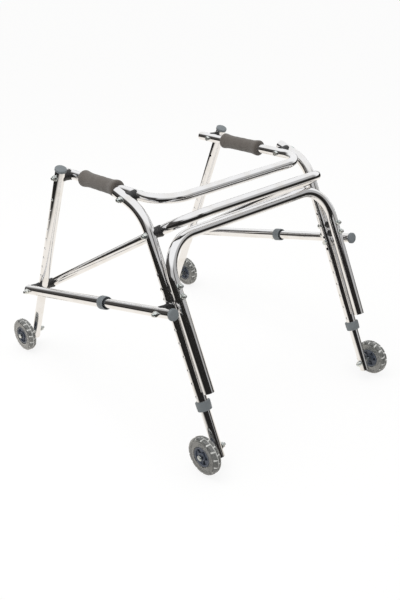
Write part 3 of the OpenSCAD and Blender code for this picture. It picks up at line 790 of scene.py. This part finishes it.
def hubSpoke():
    shape = bmesh.new()
    high = hubShape["webHalf"]
    edge = hubShape["chamfer"]
    rows = []
    for inset, level in ((edge, -high), (0.0, -high + edge), (0.0, high - edge), (edge, high)):
        rows.append([shape.verts.new((x, y, level)) for x, y in spokeOutline(inset)])
    loft(shape, rows)
    bmesh.ops.recalc_face_normals(shape, faces=shape.faces)
    return shape


def addHubs():
    rim = turned(ringProfile(hubShape["rimInner"], hubShape["rim"]), hubShape["rimSegments"])
    boss = turned(ringProfile(hubShape["bore"], hubShape["boss"]), hubShape["bossSegments"])
    rings = addHelper("hub_rings", toMesh("hub_rings", joined([rim, boss])))
    rings.data.materials.append(finishes["hub"])
    spoke = addHelper("hub_spoke", toMesh("hub_spoke", hubSpoke()))
    mesh = applyNodes(rings, ringNodes, {"Block": spoke, "Count": hubShape["spokes"],
                                         "Start": hubShape["start"], "Finish": finishes["hub"]})
    addToWheels("spoked_", "hub", mesh, "hub", hubShape["crease"])
    removeHelpers(rings, spoke)


addHubs()
print("hubs made")

# Moulded fittings, as rings along their tube: caps with a crowned head, collars with a flared mouth
fittingShape = {"frontCapAt": 0.622, "frontCap": 0.0165, "frontPlug": 0.0127,
                "barCapAt": -0.048, "barCap": 0.0155, "barPlug": 0.0112,
                "capHigh": 0.008, "capRound": 0.0028, "capTurn": 75, "capSteps": 6, "capEdge": 0.0007,
                "capSeat": 0.00005, "crown": 0.0012, "crownSteps": (0.15, 0.4, 0.7, 1.0), "plug": 0.014,
                "legCollarAt": 0.104, "legCollar": 0.0195, "legMouth": 0.005,
                "barCollarAt": 0.224, "barCollar": 0.0185, "barMouth": 0.0075,
                "collarHigh": 0.024, "collarRound": 0.0014, "collarSteps": 4, "footInset": 0.0006,
                "waist": ((0.30, 0.0005), (0.34, 0.0001)), "lip": 0.008, "mouthSlope": 0.48,
                "innerBore": 0.0128, "outerBore": 0.01435, "segments": 72, "crease": 50}


def capRings(radius, plug):
    size = fittingShape["capRound"]
    seat = fittingShape["capSeat"]
    edge = fittingShape["capEdge"]
    rim = arc(fittingShape["capHigh"] - size, radius - size, size, 0, fittingShape["capTurn"],
              fittingShape["capSteps"])
    level, reach = rim[-1]
    crown = [(level + fittingShape["crown"] * (1 - (1 - t) ** 2), reach * (1 - t))
             for t in fittingShape["crownSteps"]]
    stem = [(-fittingShape["plug"], 0.0), (-fittingShape["plug"], plug), (seat, plug)]
    return stem + [(seat, radius - edge), (seat + edge, radius)] + rim + crown


def collarRings(outer, mouth):
    high = fittingShape["collarHigh"]
    size = fittingShape["collarRound"]
    steps = fittingShape["collarSteps"]
    lip = fittingShape["lip"]
    bore = fittingShape["innerBore"]
    wide = fittingShape["outerBore"]
    foot = arc(size, outer - fittingShape["footInset"] - size, size, -90, 0, steps)
    waist = [(high * share, outer - inset) for share, inset in fittingShape["waist"]]
    top = arc(high - size, outer - size, size, 0, 90, steps)
    flared = bore + mouth * fittingShape["mouthSlope"]
    inside = [(high, wide), (lip, wide), (lip, bore), (mouth, bore), (0.0, flared)]
    return foot + waist + top + inside


def fittingOn(line, at, rings, closed=True, flip=False):
    start, along = line
    shape = turned(rings, fittingShape["segments"], closed)
    shape.transform(axisFrame(start + along * at, -along if flip else along))
    return shape


def addFitting(name, node, shapes):
    standIn(name, toMesh(name, joined(shapes)), node, "fitting", fittingShape["crease"])


def addFittings():
    legCollars = []
    frontCap = capRings(fittingShape["frontCap"], fittingShape["frontPlug"])
    barCap = capRings(fittingShape["barCap"], fittingShape["barPlug"])
    barCollar = collarRings(fittingShape["barCollar"], fittingShape["barMouth"])
    legCollar = collarRings(fittingShape["legCollar"], fittingShape["legMouth"])
    for side in sides:
        bar = barLine(side)
        cap = fittingOn(legLine("front", side), fittingShape["frontCapAt"], frontCap, False)
        addFitting("domed_front_cap_" + side, "front_cap_" + side, [cap])
        cap = fittingOn(bar, fittingShape["barCapAt"], barCap, False, True)
        addFitting("domed_bar_cap_" + side, "lower_bar_cap_" + side, [cap])
        collar = fittingOn(bar, fittingShape["barCollarAt"], barCollar)
        addFitting("flared_bar_collar_" + side, "lower_bar_collar_" + side, [collar])
        legCollars.append(fittingOn(legLine("rear", side), fittingShape["legCollarAt"], legCollar))
    addFitting("flared_leg_collars", "rear_leg_collars", legCollars)


addFittings()
print("caps and collars made")

# Hex fasteners: chamfered corners, and a washer and a threaded end on the nuts
hexShape = {"corner": 0.0075, "high": 0.006, "chamfer": 0.0010, "topShare": 0.97, "roundSteps": 24,
            "washer": 0.0085, "washerHigh": 0.0012, "washerFoot": 0.0002, "washerRound": 0.0003,
            "bolt": 0.004, "stub": 0.005, "stubSunk": 0.001, "stubChamfer": 0.0006,
            "threads": 4, "threadDepth": 0.0004, "threadRoot": 0.25, "threadCrest": 0.75,
            "segments": 32, "crease": 30}


def hexBlock(base, top):
    shape = bmesh.new()
    steps = hexShape["roundSteps"]
    flat = hexShape["corner"] * math.cos(math.pi / 6)
    rows = []
    for level, share in ((base, 1.0), (top - hexShape["chamfer"], 1.0), (top, 0.0)):
        row = []
        for i in range(steps):
            turn = 2 * math.pi * i / steps
            hexed = flat / math.cos(turn % (math.pi / 3) - math.pi / 6)
            radius = share * hexed + (1 - share) * flat * hexShape["topShare"]
            row.append(shape.verts.new((radius * math.cos(turn), radius * math.sin(turn), level)))
        rows.append(row)
    loft(shape, rows)
    bmesh.ops.recalc_face_normals(shape, faces=shape.faces)
    return shape


def washerRings():
    wide = hexShape["washer"]
    high = hexShape["washerHigh"]
    foot = hexShape["washerFoot"]
    edge = hexShape["washerRound"]
    return [(0, 0), (0, wide - foot), (foot, wide), (high - edge, wide), (high, wide - edge), (high, 0)]


def threadRings(top):
    bolt = hexShape["bolt"]
    pitch = hexShape["stub"] / hexShape["threads"]
    end = top + hexShape["stub"]
    rings = [(top - hexShape["stubSunk"], 0), (top - hexShape["stubSunk"], bolt)]
    for i in range(hexShape["threads"]):
        rings.append((top + (i + hexShape["threadRoot"]) * pitch, bolt - hexShape["threadDepth"]))
        rings.append((top + (i + hexShape["threadCrest"]) * pitch, bolt))
    return rings + [(end, bolt - hexShape["stubChamfer"]), (end, 0)]


def hexHead():
    return hexBlock(0.0, hexShape["high"])


def hexNut():
    seat = hexShape["washerHigh"]
    top = seat + hexShape["high"]
    rounds = [turned(rings, hexShape["segments"], False) for rings in (washerRings(), threadRings(top))]
    return joined(rounds + [hexBlock(seat, top)])


def addFasteners(name, node, places, block):
    mesh = bpy.data.meshes.new(name + "_places")
    mesh.from_pydata([p for p, _ in places], [], [])
    facing = mesh.attributes.new("facing", "FLOAT_VECTOR", "POINT")
    facing.data.foreach_set("vector", [c for _, way in places for c in way])
    points = addHelper(name + "_places", mesh)
    made = applyNodes(points, fastenerNodes, {"Fastener": block, "Finish": finishes["zinc"]})
    removeHelpers(points)
    standIn(name, made, node, "zinc", hexShape["crease"])


# Places of the pivots and their seats, in metres from the middle of the walker or along a leg
seatPlaces = {"railInside": 0.25025, "frontOutside": 0.31535, "tailOutside": 0.31495, "rearOutside": 0.31535,
              "rearInside": 0.28665, "innerBarOutside": 0.35577, "outerBarOutside": 0.35735,
              "archBack": -0.05185, "legFront": 0.01435, "archBolts": (0.398, 0.424), "frontLow": 0.195}


def onBothSides(point, x, way):
    return [(Vector((sign * x, point.y, point.z)), Vector((sign * way, 0, 0))) for sign in sides.values()]


def onArch(offset, way):
    places = []
    for side in sides:
        start, up = legLine("rear", side)
        ahead = Vector((0, up.z, -up.y))
        for at in seatPlaces["archBolts"]:
            places.append((start + up * at + ahead * offset, ahead * way))
    return places


def addAllFasteners():
    head = addHelper("hex_head", toMesh("hex_head", hexHead()))
    nut = addHelper("hex_nut", toMesh("hex_nut", hexNut()))
    legFoot, legUp = legLine("front", "left")
    frontLow = legFoot + seatPlaces["frontLow"] * legUp
    middleHigh = jointPlace("middle_fold")
    barRear = jointPlace("bar_hinge_left")
    inside = seatPlaces["railInside"]
    places = onBothSides(frontHigh, inside, -1) + onBothSides(rearHigh, inside, -1)
    addFasteners("top_rail_bolt_heads", "top_pivot_bolts", places, head)
    places = onBothSides(frontHigh, seatPlaces["frontOutside"], 1)
    places += onBothSides(rearHigh, seatPlaces["tailOutside"], 1)
    addFasteners("top_rail_lock_nuts", "top_pivot_nuts", places, nut)
    places = onBothSides(middleHigh, inside, -1) + onBothSides(barRear, seatPlaces["rearInside"], -1)
    places += onArch(seatPlaces["legFront"], 1)
    addFasteners("rear_frame_bolt_heads", "rear_frame_bolts", places, head)
    places = onBothSides(middleHigh, seatPlaces["rearOutside"], 1)
    places += onBothSides(barRear, seatPlaces["innerBarOutside"], 1)
    places += onArch(seatPlaces["archBack"], -1)
    addFasteners("rear_frame_lock_nuts", "rear_frame_nuts", places, nut)
    addFasteners("middle_rail_bolt_heads", "middle_rail_bolts", onBothSides(frontLow, inside, -1), head)
    for side, place in zip(sides, onBothSides(frontLow, seatPlaces["outerBarOutside"], 1)):
        addFasteners("bar_lock_nut_" + side, "lower_bar_pivot_" + side, [place], nut)
    removeHelpers(head, nut)


addAllFasteners()
print("fasteners made")

# Black saddle and bolt end of a lower bar's front pivot, taken from the merged solids of their node
saddleShape = {"nutFrom": 0.350, "crease": 30}


def addBarSaddle(side):
    node = "lower_bar_pivot_" + side
    shape = weldedCopy(node)
    waiting = set(shape.verts)
    while waiting:
        island = [waiting.pop()]
        for vert in island:
            fresh = [v for v in (e.other_vert(vert) for e in vert.link_edges) if v in waiting]
            island += fresh
            waiting.difference_update(fresh)
        if min(abs(v.co.x) for v in island) > saddleShape["nutFrom"]:  # the plain nut, now a threaded one
            bmesh.ops.delete(shape, geom=island, context="VERTS")
        elif max(abs(v.co.x) for v in island) > saddleShape["nutFrom"]:  # the bolt
            for face in {f for v in island for f in v.link_faces}:
                face.material_index = 1
    name = "bar_saddle_" + side
    mesh = toMesh(name, shape)
    for finish in ("saddle", "zinc"):
        mesh.materials.append(finishes[finish])
    standIn(name, mesh, node, "saddle", saddleShape["crease"])


for side in sides:
    addBarSaddle(side)
print("bar saddles made")

# Axle bolts: the plain bolts with a crown on each outer head
crownShape = {"radius": 0.0067, "rise": 0.0026, "root": 0.0004, "steps": 8, "segments": 40, "crease": 30}


def addAxle(end, side):
    node = end + "_axle_" + side
    low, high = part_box(node)
    place = jointPlace("wheel_spin_" + end + "_" + side)
    place.x = high.x if sides[side] > 0 else low.x
    rings = domeRings(-crownShape["root"], 0.0, crownShape["radius"], crownShape["rise"], crownShape["steps"])
    crown = turned(rings, crownShape["segments"], False)
    crown.transform(axisFrame(place, Vector((sides[side], 0, 0))))
    name = "crowned_" + node
    standIn(name, toMesh(name, joined([weldedCopy(node), crown])), node, "zinc", crownShape["crease"])


for end in ends:
    for side in sides:
        addAxle(end, side)
print("axle bolts made")

# Snap buttons: a sprung dome that stands out of its hole
buttonShape = {"radius": 0.00375, "rise": 0.0025, "dome": 0.0026, "root": 0.006, "tube": 0.0143, "steps": 8,
               "segments": 40, "crease": 40, "along": {"front": 0.528, "rear": 0.356, "bar": 0.266}}


def addButton(kind, side):
    node = "button_" + kind + "_" + side
    start, along = barLine(side) if kind == "bar" else legLine(kind, side)
    out = -jointAxis("button_press_" + kind + "_" + side)
    tube = buttonShape["tube"]
    base = tube + buttonShape["rise"] - buttonShape["dome"]
    rings = domeRings(tube - buttonShape["root"], base, buttonShape["radius"], buttonShape["dome"],
                      buttonShape["steps"])
    shape = turned(rings, buttonShape["segments"], False)
    shape.transform(axisFrame(start + along * buttonShape["along"][kind], out))
    name = "snap_" + node
    standIn(name, toMesh(name, shape), node, "zinc", buttonShape["crease"])


for side in sides:
    for kind in buttonShape["along"]:
        addButton(kind, side)
print("snap buttons made")
